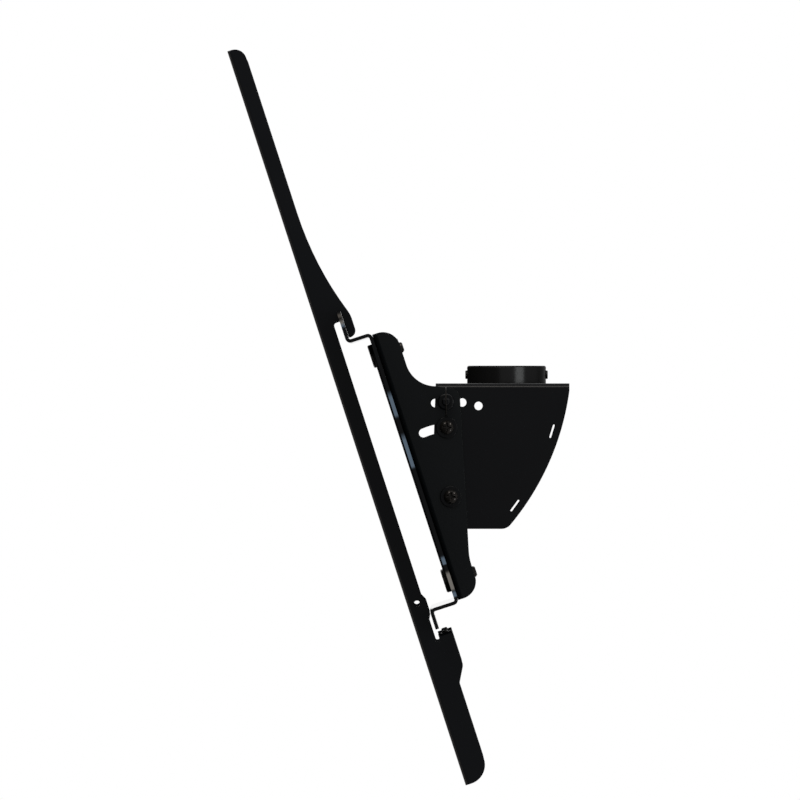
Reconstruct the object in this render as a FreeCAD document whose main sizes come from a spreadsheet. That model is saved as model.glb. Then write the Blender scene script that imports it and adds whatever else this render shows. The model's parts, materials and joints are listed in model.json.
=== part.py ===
import FreeCAD, Part
import math
import os
import re
import Sketcher

# Tilting screen mount that hangs from a 50 mm pole.
# Millimetres and degrees. The origin is on the pole's axis at the upper face of the base bracket's top plate,
# +Z is up the pole, -Y is the screen side and X runs along the screen.
# Pieces that tilt are drawn upright about the pivot and then leaned by the rest tilt.

SIZES = [
    ("sheet_thick", 3, "folded steel sheet of the bracket, the head and the interface plate"),
    ("bend_inside", 1.5, "inside radius of every fold"),
    ("base_width", 130, "base bracket across the outside of its cheeks"),
    ("plate_rear", 53.1, "pole axis to the rear edge of the top plate"),
    ("cheek_drop", 123.3, "height of the cheeks"),
    ("rear_start", 6.5, "top face to the start of the cheek's curved rear edge"),
    ("rear_foot", 0.2, "pole axis to the foot of the curved rear edge"),
    ("rear_arc", 224, "radius of the curved rear edge"),
    ("foot_round", 10, "rounded rear foot of the cheek"),
    ("slit_length", 12, "cable-tie slit, end to end"),
    ("slit_width", 2, "cable-tie slit, across"),
    ("slit_inset", 6.8, "cable-tie slit's middle line to the rear edge"),
    ("slit_high", 17.2, "upper slit, degrees below level about the rear arc's centre"),
    ("slit_low", 35.9, "lower slit, likewise"),
    ("cable_hole", 40, "cable hole through the top plate"),
    ("collar_outer", 67, "pole collar, outside"),
    ("pole_bore", 50.5, "pole collar, bore for a 50 mm pole"),
    ("collar_high", 15, "pole collar, height"),
    ("collar_edge", 1, "chamfer of the collar's rims"),
    ("grub_size", 8, "set screw thread"),
    ("grub_height", 7.4, "set screw axis above the top plate"),
    ("grub_proud", 1.5, "set screw past the collar"),
    ("grub_key", 4, "set screw's hexagon socket across flats"),
    ("thread_play", 0.1, "gap between a thread and its hole, on the radius"),
    ("washer_play", 0.2, "gap between a screw and its washer, on the radius"),
    ("pivot_ahead", 47.3, "pole axis to the tilt pivot"),
    ("pivot_drop", 96, "top face to the tilt pivot"),
    ("tilt_rest", 18, "lean of the head as drawn"),
    ("tilt_travel", 20, "range of the lean, back from the rest"),
    ("web_room", 2, "gap from the head's web to the cheeks at both ends of the tilt"),
    ("cheek_play", 0.3, "gap between the head's cheeks and the base's cheeks"),
    ("head_front", 21.1, "pivot to the front face of the head's web"),
    ("head_top", 151.1, "pivot to the top of the head"),
    ("lobe_reach", 19.8, "depth of the head's cheeks at the upper and lower lobes"),
    ("lobe_round", 15, "rounded corner of a lobe"),
    ("neck_height", 117, "pivot to where the upper lobe ends"),
    ("neck_arc", 26, "radius of the hollow below the upper lobe"),
    ("neck_back", 17.3, "rear end of that hollow, behind the pivot"),
    ("neck_low", 92.8, "rear end of that hollow, above the pivot"),
    ("shoulder_back", 35, "corner of the cheek, behind the pivot"),
    ("shoulder_high", 84, "corner of the cheek, above the pivot"),
    ("shoulder_round", 8, "rounding of that corner"),
    ("lobe_height", 30.9, "height of the lower lobe, up to the slanted edge"),
    ("waist_round", 45, "rounding there"),
    ("index_radius", 80.4, "pivot to the index holes"),
    ("index_first", -3, "first index hole in the base, degrees back from upright"),
    ("index_step", 10, "step between index holes"),
    ("index_hole", 7.2, "index hole"),
    ("index_offset", 6.5, "second index hole in the head, degrees ahead of the pin's"),
    ("lock_radius", 58.7, "pivot to the lock screws"),
    ("lock_angle", -3.4, "lock screws, degrees back from upright"),
    ("lock_slot", 7.6, "width of the arc slot for the lock screw"),
    ("screw_size", 6, "thread of the pivot, lock and arm screws"),
    ("screw_hole", 6.6, "clearance hole for that thread"),
    ("screw_length", 16, "pivot and lock screws, under the head"),
    ("pan_wide", 12, "pan head, across"),
    ("pan_high", 4.6, "pan head, height"),
    ("cross_span", 6.6, "cross recess, tip to tip"),
    ("cross_wide", 1.4, "cross recess, width of an arm"),
    ("cross_deep", 2.4, "cross recess, depth"),
    ("washer_wide", 18.3, "large washer, outside"),
    ("washer_thick", 1.6, "large washer, thickness"),
    ("nut_across", 10, "nut across flats"),
    ("nut_thick", 5, "nut thickness"),
    ("pin_size", 6.8, "index pin's shank"),
    ("pin_grip", 3, "index pin past the inside of the base's cheek when home"),
    ("pin_draw", 0.3, "index pin's tip off the base's cheek at rest"),
    ("pin_shoulder", 14, "index pin's shoulder, across"),
    ("pin_shoulder_thick", 3, "index pin's shoulder, thickness"),
    ("pin_tail", 9, "index pin behind its shoulder"),
    ("ring_wide", 25.4, "pull ring, outside"),
    ("ring_wire", 1.4, "pull ring's wire"),
    ("ring_hole", 3.4, "cross hole in the pin for the ring"),
    ("plate_wide", 600, "interface plate along the screen"),
    ("upper_step", 16.5, "interface plate to its upper hanging flange"),
    ("upper_flange", 25.6, "upper flange above the plate's top fold"),
    ("lower_step", 19.7, "interface plate to its lower flange"),
    ("lower_flange", 14.9, "lower flange below the plate's bottom fold"),
    ("plate_lap", 1.4, "head's ends past the plate's folds"),
    ("bolt_pitch", 200, "plate bolts, one above the other"),
    ("bolt_drop", 17.6, "top of the head to the upper plate bolts"),
    ("bolt_foot", 18.7, "lower plate bolts to the bottom of the head"),
    ("bolt_inset", 15.3, "plate bolts to the inside of the head's cheeks"),
    ("bolt_size", 10, "plate bolt's thread"),
    ("bolt_hole", 11, "hole in the web and width of the plate's slots"),
    ("bolt_slot", 30, "slot in the plate, end to end"),
    ("strip_wide", 18, "strip under the bolt heads, across"),
    ("strip_thick", 1.8, "strip under the bolt heads, thickness"),
    ("strip_past", 10, "strip past the bolts at each end"),
    ("bolt_head", 20, "plate bolt's flat head, across"),
    ("bolt_head_high", 2.2, "plate bolt's flat head, height"),
    ("bolt_edge", 0.8, "bevel of that head"),
    ("bolt_key", 6, "plate bolt's hexagon socket across flats"),
    ("bolt_key_deep", 3.5, "depth of that socket"),
    ("bolt_length", 26.8, "plate bolt under its head"),
    ("bolt_washer", 20, "plate bolt's washer, outside"),
    ("bolt_washer_thick", 2, "plate bolt's washer, thickness"),
    ("bolt_nut", 16, "plate bolt's nut across flats"),
    ("bolt_nut_thick", 8, "plate bolt's nut, thickness"),
    ("lock_nut_thick", 6.5, "lock nut behind that nut, thickness"),
    ("arm_sheet", 2.5, "folded sheet of the arms"),
    ("arm_wide", 36, "arm's face against the screen"),
    ("arm_spread", 400, "distance between the arms"),
    ("arm_front", 63.4, "pivot to the face against the screen"),
    ("arm_top", 415.7, "pivot to the arm's top"),
    ("arm_foot", 234.9, "pivot to the arm's bottom"),
    ("arm_neck", 13.6, "arm's depth at the top"),
    ("arm_top_round", 10, "rounded corner at the top"),
    ("flare_start", 270, "pivot to where the arm widens to its hook"),
    ("flare_arc", 290, "radius of the widening edge"),
    ("hook_thick", 7, "hook behind the upper flange"),
    ("hook_gap", 2.5, "hook's tip above the plate's top fold"),
    ("crest_drop", 4.7, "upper flange's end down to where the hook is deepest"),
    ("hook_round", 6, "rounding of the hook's tip"),
    ("crest_round", 20, "rounding above the hook"),
    ("rail_play", 0.3, "gap between the arms and the flanges that carry them"),
    ("hook_slot", 9.3, "width of the hook's slot"),
    ("slot_drop", 7.6, "upper flange's end down to the shoulder of the hook's slot"),
    ("slot_round", 2.5, "rounding of the hook slot's shoulder"),
    ("rest_above", 11.8, "pad against the lower flange, above the plate's bottom fold"),
    ("rest_below", 4.2, "that pad below the fold"),
    ("rest_ramp", 5, "slope at the ends of that pad"),
    ("notch_wide", 3.4, "slot behind the lower flange"),
    ("notch_round", 1.5, "rounding at the bottom of that slot"),
    ("notch_room", 11.5, "lower flange's end to the bottom of that slot"),
    ("ledge_room", 5, "lower flange's end to the folded tab's top"),
    ("block_edge", 6, "locking screw to the back of the arm below the tab"),
    ("block_high", 30.8, "folded tab's top to where the arm narrows again"),
    ("block_slope", 14, "height of that narrowing"),
    ("tail_deep", 21.6, "arm's depth below"),
    ("tail_round", 16.5, "rounded rear corner at the arm's bottom"),
    ("block_round", 8, "rounding where the arm narrows"),
    ("eye_hole", 5.2, "security hole in the arm"),
    ("eye_ahead", 55.1, "pivot to that hole"),
    ("eye_low", 76.5, "pivot down to that hole"),
    ("vesa_slot", 110, "screen slot, end to end"),
    ("vesa_wide", 8.5, "screen slot, across"),
    ("vesa_pitch", 130, "step between screen slots"),
    ("vesa_first", 350, "pivot to the middle of the topmost screen slot"),
    ("latch_gap", 0.8, "gap between the lower flange and the arm's locking screw"),
    ("latch_proud", 1.5, "locking screw's tip above the tab"),
    ("latch_travel", 18, "free length of the locking screw below its nut"),
    ("latch_nut_thick", 4, "weld nut of the locking screw"),
    ("latch_head_high", 3.3, "locking screw's head, height"),
]
VESA_SLOTS = 5
# A slot's end arc over half its width, so that its sketch closes
ROUND_END = 1.0001
# Edges closer than this to a place are taken as lying there
NEAR = 1e-4
NAMES = {name for name, value, note in SIZES}

doc = FreeCAD.newDocument("tilt_mount")
sheet = doc.addObject("Spreadsheet::Sheet", "Dimensions")
for row, (name, value, note) in enumerate(SIZES, start=1):
    sheet.set(f"A{row}", name)
    sheet.set(f"B{row}", str(value))
    sheet.setAlias(f"B{row}", name)
    sheet.set(f"C{row}", note)
doc.recompute()

# Formulas that several pieces share
FOLD = "(bend_inside + sheet_thick)"
ARM_FOLD = "(bend_inside + arm_sheet)"
TILT_BACK = "(tilt_rest - tilt_travel)"
HEAD_INNER = "(base_width / 2 + cheek_play)"
HEAD_OUTER = "(base_width / 2 + cheek_play + sheet_thick)"
WEB_REAR = "(head_front - sheet_thick)"
PLATE_FRONT = "(head_front + sheet_thick)"
PLATE_TOP = "(head_top - plate_lap)"
HEAD_FOOT = "(bolt_pitch - head_top + bolt_drop + bolt_foot)"
PLATE_FOOT = f"({HEAD_FOOT} - plate_lap)"
UPPER_BACK = "(head_front + sheet_thick + upper_step)"
LOWER_BACK = "(head_front + sheet_thick + lower_step)"
UPPER_END = f"({PLATE_TOP} + sheet_thick + upper_flange)"
LOWER_END = f"({PLATE_FOOT} + sheet_thick + lower_flange)"
LEDGE = f"({LOWER_END} + ledge_room)"
LATCH_BACK = f"({LOWER_BACK} - screw_size / 2 - latch_gap)"
BOLT_SIDES = [f"({HEAD_INNER} - bolt_inset)", f"(bolt_inset - {HEAD_INNER})"]
BOLT_HEIGHTS = ["(head_top - bolt_drop)", "(head_top - bolt_drop - bolt_pitch)"]
BOLT_SPOTS = [(across, up) for across in BOLT_SIDES for up in BOLT_HEIGHTS]


def bound(formula):
    """Write a formula in the sheet's names as an expression that any object can hold."""
    return re.sub(r"[a-z_]+", lambda m: f"Dimensions.{m[0]}" if m[0] in NAMES else m[0], formula)


def number(formula):
    """Work a formula out with the sheet's present values."""
    return float(sheet.evalExpression(bound(formula)))


def new_body(label):
    body = doc.addObject("PartDesign::Body", label)
    body.Label = label
    return body


def new_sketch(body, name, plane):
    sketch = body.newObject("Sketcher::SketchObject", f"{body.Name}_{name}")
    support = next(f for f in body.Origin.OriginFeatures if f.Role == plane)
    sketch.AttachmentSupport = [(support, "")]
    sketch.MapMode = "FlatFace"
    return sketch


def drive(sketch, constraint, formula):
    """Add a dimension to a sketch and bind it to a formula."""
    index = sketch.addConstraint(constraint)
    sketch.setExpression(f"Constraints[{index}]", bound(formula))


def pin_point(sketch, shape, point, across, up):
    drive(sketch, Sketcher.Constraint("DistanceX", -1, 1, shape, point, number(across)), across)
    drive(sketch, Sketcher.Constraint("DistanceY", -1, 1, shape, point, number(up)), up)


def arc_between(start, end, radius, turn):
    """The arc from start to end that turns left (+1) or right (-1)."""
    middle = (start + end) / 2
    chord = end - start
    left = FreeCAD.Vector(-chord.y, chord.x, 0).normalize()
    centre = middle + left * turn * math.sqrt(radius ** 2 - (chord.Length / 2) ** 2)
    first, last = (start, end) if turn > 0 else (end, start)
    angles = [math.atan2(p.y - centre.y, p.x - centre.x) for p in (first, last)]
    return Part.ArcOfCircle(Part.Circle(centre, FreeCAD.Vector(0, 0, 1), radius), *angles)


def outline(sketch, corners):
    """Draw a closed outline of corners (across, up), or (across, up, radius, turn) before an arc."""
    places = [FreeCAD.Vector(number(c[0]), number(c[1]), 0) for c in corners]
    base = sketch.GeometryCount
    ends = []
    for i, corner in enumerate(corners):
        start, end = places[i], places[(i + 1) % len(corners)]
        if len(corner) == 2:
            sketch.addGeometry(Part.LineSegment(start, end), False)
            ends.append((1, 2))
        else:
            sketch.addGeometry(arc_between(start, end, number(corner[2]), corner[3]), False)
            ends.append((1, 2) if corner[3] > 0 else (2, 1))
    for i, corner in enumerate(corners):
        after = (i + 1) % len(corners)
        sketch.addConstraint(
            Sketcher.Constraint("Coincident", base + i, ends[i][1], base + after, ends[after][0]))
    for i, corner in enumerate(corners):
        pin_point(sketch, base + i, ends[i][0], corner[0], corner[1])
        if len(corner) > 2:
            drive(sketch, Sketcher.Constraint("Radius", base + i, number(corner[2])), corner[2])


def circle(sketch, across, up, diameter):
    centre = FreeCAD.Vector(number(across), number(up), 0)
    shape = sketch.addGeometry(Part.Circle(centre, FreeCAD.Vector(0, 0, 1), number(diameter) / 2), False)
    pin_point(sketch, shape, 3, across, up)
    drive(sketch, Sketcher.Constraint("Diameter", shape, number(diameter)), diameter)


def obround(sketch, across, up, length, width, lean):
    """A straight slot with round ends, leaning by an angle from upright."""
    half = f"(({length}) - ({width})) / 2"
    centres = []
    for end in (1, -1):
        centres.append((f"{across} + {end} * {half} * sin({lean})", f"{up} + {end} * {half} * cos({lean})"))
    radius = number(f"({width}) / 2")
    turn = math.radians(-number(lean))
    base = sketch.GeometryCount
    ends = []
    for centre, start in zip(centres, (turn, turn + math.pi)):
        disc = Part.Circle(FreeCAD.Vector(*map(number, centre), 0), FreeCAD.Vector(0, 0, 1), radius)
        cap = Part.ArcOfCircle(disc, start, start + math.pi)
        sketch.addGeometry(cap, False)
        ends += [cap.StartPoint, cap.EndPoint]
    sketch.addGeometry(Part.LineSegment(ends[1], ends[2]), False)
    sketch.addGeometry(Part.LineSegment(ends[3], ends[0]), False)
    for cap, side in ((0, 2), (1, 3)):
        sketch.addConstraint(Sketcher.Constraint("Tangent", base + cap, 2, base + side, 1))
        sketch.addConstraint(Sketcher.Constraint("Tangent", base + side, 2, base + 1 - cap, 1))
    sketch.addConstraint(Sketcher.Constraint("Equal", base, base + 1))
    for cap, centre in enumerate(centres):
        pin_point(sketch, base + cap, 3, *centre)
    drive(sketch, Sketcher.Constraint("Radius", base, radius), f"({width}) / 2")


def pad(body, name, sketch, length, back=None):
    """Thicken a sketch evenly to both sides, or by length one way and back the other."""
    feature = body.newObject("PartDesign::Pad", f"{body.Name}_{name}")
    feature.Profile = sketch
    feature.SideType = "Symmetric" if back is None else "Two sides"
    feature.setExpression("Length", bound(length))
    if back is not None:
        feature.setExpression("Length2", bound(back))
    doc.recompute()
    return feature


def cut(body, name, sketch, length):
    """Cut a sketch evenly to both sides, and see that it takes something away."""
    before = body.Shape.Volume
    feature = body.newObject("PartDesign::Pocket", f"{body.Name}_{name}")
    feature.Profile = sketch
    feature.SideType = "Symmetric"
    feature.setExpression("Length", bound(length))
    doc.recompute()
    if body.Shape.Volume >= before:
        raise RuntimeError(f"{feature.Name} cuts nothing")
    return feature


def revolve(body, name, sketch):
    feature = body.newObject("PartDesign::Revolution", f"{body.Name}_{name}")
    feature.Profile = sketch
    feature.ReferenceAxis = (sketch, ["H_Axis"])
    feature.Angle = 360
    doc.recompute()
    return feature


def edges_along(feature, axis, places):
    """Names of the straight edges that run along an axis (0, 1, 2) through places on the other two."""
    others = [k for k in range(3) if k != axis]
    names = []
    for index, edge in enumerate(feature.Shape.Edges, start=1):
        ends = [[v.Point[k] for k in others] for v in edge.Vertexes]
        if len(ends) == 2 and math.dist(*ends) < NEAR and any(math.dist(ends[0], p) < NEAR for p in places):
            names.append(f"Edge{index}")
    return names


def fillet(body, name, axis, places, radius):
    """Round the edges that run along an axis through the given places, written as formulas."""
    base = body.Tip
    found = edges_along(base, axis, [[number(p) for p in place] for place in places])
    if not found:
        raise RuntimeError(f"{body.Name} has no edge for {name}")
    feature = body.newObject("PartDesign::Fillet", f"{body.Name}_{name}")
    feature.Base = (base, found)
    feature.setExpression("Radius", bound(radius))
    doc.recompute()
    return feature


def place(piece, across="0", along="0", up="0", axis=(0, 0, 1), angle=None):
    """Put a piece at formulas for its place, turned about an axis."""
    turn = 0 if angle is None else number(angle)
    piece.Placement = FreeCAD.Placement(FreeCAD.Vector(), FreeCAD.Rotation(FreeCAD.Vector(*axis), turn))
    for letter, formula in zip("xyz", (across, along, up)):
        piece.setExpression(f".Placement.Base.{letter}", bound(formula))
    if angle is not None and turn:
        piece.setExpression(".Placement.Rotation.Angle", bound(angle))


def lean(piece, across="0"):
    """Put a piece that was drawn upright about the pivot into the tilt frame."""
    place(piece, across, "-pivot_ahead", "-pivot_drop", (1, 0, 0), "tilt_rest")


def leaned(back, up):
    """Place in the part's frame of a point of the tilt frame, as formulas."""
    along = f"-pivot_ahead + ({back}) * cos(tilt_rest) - ({up}) * sin(tilt_rest)"
    height = f"-pivot_drop + ({back}) * sin(tilt_rest) + ({up}) * cos(tilt_rest)"
    return along, height


def about_pivot(radius, angle):
    """Point at a radius from the pivot, at an angle back from upright, relative to the pivot."""
    return f"{radius} * sin({angle})", f"{radius} * cos({angle})"


def hexagon(sketch, across):
    reach = f"({across}) / 2 / cos(30)"
    outline(sketch, [(f"{reach} * cos({60 * k})", f"{reach} * sin({60 * k})") for k in range(6)])


def base_bracket():
    """Folded bracket: a top plate and two cheeks whose front edges stop just clear of the head's web."""
    body = new_body("base_bracket")
    edge = f"({WEB_REAR} - web_room)"
    kink = f"{edge} / cos(tilt_travel / 2)"
    middle = "(tilt_rest - tilt_travel / 2)"
    front_top = f"-pivot_ahead - ({edge} + pivot_drop * sin{TILT_BACK}) / cos{TILT_BACK}"
    front_foot = f"-pivot_ahead - ({edge} + (pivot_drop - cheek_drop) * sin(tilt_rest)) / cos(tilt_rest)"
    side = new_sketch(body, "side", "YZ_Plane")
    outline(side, [
        (front_top, "0"),
        (f"-pivot_ahead - {kink} * cos{middle}", f"-pivot_drop - {kink} * sin{middle}"),
        (front_foot, "-cheek_drop"),
        ("rear_foot", "-cheek_drop", "rear_arc", 1),
        ("plate_rear", "-rear_start"),
        ("plate_rear", "0"),
    ])
    pad(body, "block", side, "base_width")
    fillet(body, "foot", 0, [("rear_foot", "-cheek_drop")], "foot_round")
    fillet(body, "fold", 1, [("base_width / 2", "0"), ("-base_width / 2", "0")], FOLD)
    inner = new_sketch(body, "inner", "YZ_Plane")
    outline(inner, [
        ("-2 * pivot_ahead", "-sheet_thick"), ("-2 * pivot_ahead", "-2 * cheek_drop"),
        ("2 * plate_rear", "-2 * cheek_drop"), ("2 * plate_rear", "-sheet_thick"),
    ])
    cut(body, "hollow", inner, "base_width - 2 * sheet_thick")
    inside = "base_width / 2 - sheet_thick"
    fillet(body, "fold_inside", 1, [(inside, "-sheet_thick"), (f"-({inside})", "-sheet_thick")],
           "bend_inside")
    holes = new_sketch(body, "holes", "YZ_Plane")
    circle(holes, "-pivot_ahead", "-pivot_drop", "screw_hole")
    back, up = about_pivot("lock_radius", "lock_angle")
    circle(holes, f"-pivot_ahead + {back}", f"-pivot_drop + {up}", "screw_hole")
    for step in range(3):
        back, up = about_pivot("index_radius", f"(index_first + {step} * index_step)")
        circle(holes, f"-pivot_ahead + {back}", f"-pivot_drop + {up}", "index_hole")
    cut(body, "cheek_holes", holes, "2 * base_width")
    rise = "(cheek_drop - rear_start)"
    run = "(plate_rear - rear_foot)"
    chord = f"sqrt({rise}^2 + {run}^2)"
    depth = f"sqrt(rear_arc^2 - ({rise}^2 + {run}^2) / 4)"
    centre_along = f"((plate_rear + rear_foot) / 2 - {rise} / {chord} * {depth})"
    centre_up = f"({run} / {chord} * {depth} - (rear_start + cheek_drop) / 2)"
    slits = new_sketch(body, "slits", "YZ_Plane")
    for angle in ("slit_high", "slit_low"):
        along = f"{centre_along} + (rear_arc - slit_inset) * cos({angle})"
        height = f"{centre_up} - (rear_arc - slit_inset) * sin({angle})"
        obround(slits, along, height, "slit_length", "slit_width", angle)
    cut(body, "cable_slits", slits, "2 * base_width")
    through = new_sketch(body, "through", "XY_Plane")
    circle(through, "0", "0", "cable_hole")
    cut(body, "cable_way", through, "4 * sheet_thick")
    return body


def pole_collar():
    """Turned ring on the top plate, with a threaded hole through its wall at the front and the rear."""
    body = new_body("pole_collar")
    section = new_sketch(body, "section", "XY_Plane")
    outline(section, [
        ("0", "pole_bore / 2"), ("collar_high - collar_edge", "pole_bore / 2"),
        ("collar_high", "pole_bore / 2 + collar_edge"), ("collar_high", "collar_outer / 2 - collar_edge"),
        ("collar_high - collar_edge", "collar_outer / 2"), ("0", "collar_outer / 2"),
    ])
    revolve(body, "ring", section)
    holes = new_sketch(body, "holes", "XZ_Plane")
    circle(holes, "grub_height", "0", "grub_size + 2 * thread_play")
    cut(body, "threads", holes, "2 * collar_outer")
    place(body, axis=(0, 1, 0), angle="-90")
    return body


def set_screw(label, turn):
    """Grub screw with a cone-edged tip level with the bore and a hexagon socket outside."""
    body = new_body(label)
    tip = "pole_bore / 2 + thread_play"
    end = "collar_outer / 2 + grub_proud"
    bevel = "grub_size / 8"
    section = new_sketch(body, "section", "XY_Plane")
    outline(section, [
        (tip, "0"), (end, "0"), (end, f"grub_size / 2 - {bevel}"), (f"{end} - {bevel}", "grub_size / 2"),
        (f"{tip} + {bevel}", "grub_size / 2"), (tip, f"grub_size / 2 - {bevel}"),
    ])
    revolve(body, "screw", section)
    socket = new_sketch(body, "socket", "YZ_Plane")
    hexagon(socket, "grub_key")
    socket.setExpression(".AttachmentOffset.Base.z", bound(end))
    cut(body, "key", socket, "grub_size")
    place(body, up="grub_height", angle=turn)
    return body


def pan_screw(label, length, head_high):
    """Pan-head screw along X: the head's underside at zero, the shank towards -X, a cross recess on top."""
    body = new_body(label)
    crown = f"({head_high}) / 4"
    bevel = "screw_size / 10"
    section = new_sketch(body, "section", "XY_Plane")
    dome = f"((pan_wide / 2) ^ 2 / 2 / ({head_high} - {crown}) + ({head_high} - {crown}) / 2)"
    outline(section, [
        (f"-({length})", "0"), (head_high, "0", dome, 1), (crown, "pan_wide / 2"), ("0", "pan_wide / 2"),
        ("0", "screw_size / 2"), (f"{bevel} - ({length})", "screw_size / 2"),
        (f"-({length})", f"screw_size / 2 - {bevel}"),
    ])
    revolve(body, "screw", section)
    recess = new_sketch(body, "recess", "YZ_Plane")
    arm, half = "cross_span / 2", "cross_wide / 2"
    outline(recess, [
        (arm, f"-{half}"), (arm, half), (half, half), (half, arm), (f"-{half}", arm), (f"-{half}", half),
        (f"-{arm}", half), (f"-{arm}", f"-{half}"), (f"-{half}", f"-{half}"), (f"-{half}", f"-{arm}"),
        (half, f"-{arm}"), (half, f"-{half}"),
    ])
    recess.setExpression(".AttachmentOffset.Base.z", bound(head_high))
    cut(body, "cross", recess, "2 * cross_deep")
    return body


def washer(label, plane, outer, thread, thick):
    """Round washer that stands on a plane, towards +X or +Y."""
    body = new_body(label)
    face = new_sketch(body, "face", plane)
    circle(face, "0", "0", outer)
    circle(face, "0", "0", f"{thread} + 2 * washer_play")
    stand_on(body, plane, face, thick)
    return body


def nut(label, plane, across, thread, thick):
    """Hexagon nut that stands on a plane, towards +X or +Y."""
    body = new_body(label)
    face = new_sketch(body, "face", plane)
    hexagon(face, across)
    circle(face, "0", "0", f"{thread} + 2 * thread_play")
    stand_on(body, plane, face, thick)
    return body


def stand_on(body, plane, face, thick):
    """Thicken a face towards +X from the YZ plane, or towards +Y from the XZ plane, which looks to -Y."""
    pad(body, "plate", face, *((thick, "0") if plane == "YZ_Plane" else ("0", thick)))


def side_screws():
    """Pivot and lock screws of both sides, each with its large washer outside and its nut inside."""
    pieces = []
    lock_back, lock_up = about_pivot("lock_radius", "lock_angle")
    spots = {"pivot": ("0", "0"), "lock": (lock_back, lock_up)}
    for role, (back, up) in spots.items():
        along, height = f"-pivot_ahead + {back}", f"-pivot_drop + {up}"
        for side, sign, turn in (("right", "", "0"), ("left", "-", "180")):
            seat = f"({HEAD_OUTER} + washer_thick)"
            screw = pan_screw(f"{role}_screw_{side}", "screw_length", "pan_high")
            place(screw, f"{sign}{seat}", along, height, (0, 0, 1), turn)
            disc = washer(f"{role}_washer_{side}", "YZ_Plane", "washer_wide", "screw_size", "washer_thick")
            place(disc, f"{sign}{HEAD_OUTER}", along, height, (0, 0, 1), turn)
            inner_nut = nut(f"{role}_nut_{side}", "YZ_Plane", "nut_across", "screw_size", "nut_thick")
            inside = "(base_width / 2 - sheet_thick - nut_thick)"
            place(inner_nut, f"{sign}{inside}", along, height, (0, 0, 1), turn)
            pieces += [screw, disc, inner_nut]
    return pieces


def tilt_head():
    """Folded head: a web towards the screen and two cheeks outside the base's, with lobes at both ends."""
    body = new_body("tilt_head")
    lobe = "(lobe_reach - head_front)"
    waist = f"(lobe_height - {HEAD_FOOT})"
    side = new_sketch(body, "side", "YZ_Plane")
    outline(side, [
        ("-head_front", "head_top"), ("-head_front", f"-{HEAD_FOOT}"), (lobe, f"-{HEAD_FOOT}"),
        (lobe, waist), ("shoulder_back", "shoulder_high"), ("neck_back", "neck_low", "neck_arc", -1),
        (lobe, "neck_height"), (lobe, "head_top"),
    ])
    pad(body, "block", side, f"2 * {HEAD_OUTER}")
    fillet(body, "lobes", 0, [(lobe, "head_top"), (lobe, f"-{HEAD_FOOT}")], "lobe_round")
    fillet(body, "shoulder", 0, [("shoulder_back", "shoulder_high")], "shoulder_round")
    fillet(body, "waist", 0, [(lobe, waist)], "waist_round")
    fillet(body, "fold", 2, [(HEAD_OUTER, "-head_front"), (f"-{HEAD_OUTER}", "-head_front")], FOLD)
    inner = new_sketch(body, "inner", "YZ_Plane")
    outline(inner, [
        (f"-{WEB_REAR}", "2 * head_top"), (f"-{WEB_REAR}", f"-2 * {HEAD_FOOT}"),
        ("2 * shoulder_back", f"-2 * {HEAD_FOOT}"), ("2 * shoulder_back", "2 * head_top"),
    ])
    cut(body, "hollow", inner, f"2 * {HEAD_INNER}")
    fillet(body, "fold_inside", 2, [(HEAD_INNER, f"-{WEB_REAR}"), (f"-{HEAD_INNER}", f"-{WEB_REAR}")],
           "bend_inside")
    holes = new_sketch(body, "holes", "YZ_Plane")
    circle(holes, "0", "0", "screw_size + 2 * washer_play")
    for ahead in ("0", "index_offset"):
        back, up = about_pivot("index_radius", f"(index_first + tilt_rest - {ahead})")
        circle(holes, back, up, "index_hole")
    cut(body, "cheek_holes", holes, f"4 * {HEAD_OUTER}")
    arc = new_sketch(body, "arc", "YZ_Plane")
    arc_slot(arc, "lock_radius", "lock_slot", "(lock_angle + tilt_rest)", f"(lock_angle + {TILT_BACK})")
    cut(body, "lock_slots", arc, f"4 * {HEAD_OUTER}")
    bolts = new_sketch(body, "bolts", "XZ_Plane")
    for across, up in BOLT_SPOTS:
        circle(bolts, across, up, "bolt_hole")
    cut(body, "bolt_holes", bolts, "4 * head_front")
    lean(body)
    return body


def arc_slot(sketch, radius, width, first, last):
    """A slot bent about the pivot, round-ended, between two angles back from upright."""
    rims = [f"({radius} + {width} / 2)", f"({radius} - {width} / 2)"]
    outer, inner = ([about_pivot(r, a) for a in (first, last)] for r in rims)
    cap = f"({width}) / 2 * {ROUND_END}"
    outline(sketch, [
        (*outer[0], rims[0], 1), (*outer[1], cap, 1), (*inner[1], rims[1], -1), (*inner[0], cap, 1),
    ])


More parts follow.
